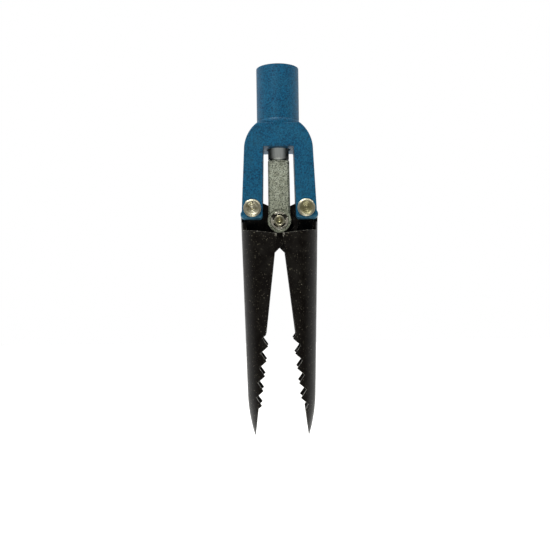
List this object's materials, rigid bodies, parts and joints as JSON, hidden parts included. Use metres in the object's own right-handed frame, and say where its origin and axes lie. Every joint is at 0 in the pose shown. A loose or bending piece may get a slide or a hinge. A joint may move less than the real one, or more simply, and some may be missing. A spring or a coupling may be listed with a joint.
{
  "type": "reacher grabber head",
  "caption": "Steel grabber head on a tube end: a forked yoke carries toothed half-round jaws that a sliding draw rod opens and closes through cam slots.",
  "frame": {"origin": "centre of the pole tube's open mouth", "axes": "+Z out of the mouth along the pole and the draw rod, X across the two jaws, -Y towards the front, where the pivot pins have their heads"},
  "size_m": [0.0462, 0.0287, 0.2194],
  "materials": {
    "blue_paint": "satin",
    "black_paint": "satin",
    "zinc_rod": "satin",
    "zinc_casting": "matte",
    "zinc_pin": "satin",
    "spring_steel": "satin",
    "turned_steel": "satin",
    "bronze": "satin",
    "seal_rubber": "matte",
    "guide_nylon": "matte"
  },
  "bodies": {
    "head": {"tube": "blue_paint", "tube_weld": "blue_paint", "yoke": "blue_paint", "guide_bush": "bronze", "rod_seal": "seal_rubber", "rod_guide_disc": "guide_nylon", "disc_retaining_ring": "spring_steel", "left_pivot_pin": "zinc_pin", "right_pivot_pin": "zinc_pin", "left_pivot_clip": "spring_steel", "right_pivot_clip": "spring_steel", "left_pivot_spacer": "turned_steel", "right_pivot_spacer": "turned_steel"},
    "rod": {"draw_rod": "zinc_rod", "rod_clevis": "zinc_casting", "clevis_roll_pin": "spring_steel", "drive_pin": "zinc_pin", "drive_pin_clip": "spring_steel", "stop_collar": "turned_steel", "collar_pin": "spring_steel"},
    "left_jaw": {"left_jaw_shell": "black_paint", "left_jaw_lug": "black_paint", "left_jaw_welds": "black_paint"},
    "right_jaw": {"right_jaw_shell": "black_paint", "right_jaw_lug": "black_paint", "right_jaw_welds": "black_paint"}
  },
  "joints": [
    {"name": "rod_slide", "type": "slide", "parent": "head", "child": "rod", "axis": [0, 0, 1], "range_m": [-0.0096, 0.0028]},
    {"name": "left_jaw_hinge", "type": "hinge", "parent": "head", "child": "left_jaw", "pos_m": [-0.01585, 0, -0.0847], "axis": [0, 1, 0], "range_deg": [-6.5, 22.2]},
    {"name": "right_jaw_hinge", "type": "hinge", "parent": "head", "child": "right_jaw", "pos_m": [0.01585, 0, -0.0847], "axis": [0, 1, 0], "range_deg": [-22.2, 6.5]}
  ],
  "couplings": [
    {"joint": "left_jaw_hinge", "follows": "rod_slide", "rad_per_m": -40.143},
    {"joint": "right_jaw_hinge", "follows": "rod_slide", "rad_per_m": 40.143}
  ]
}
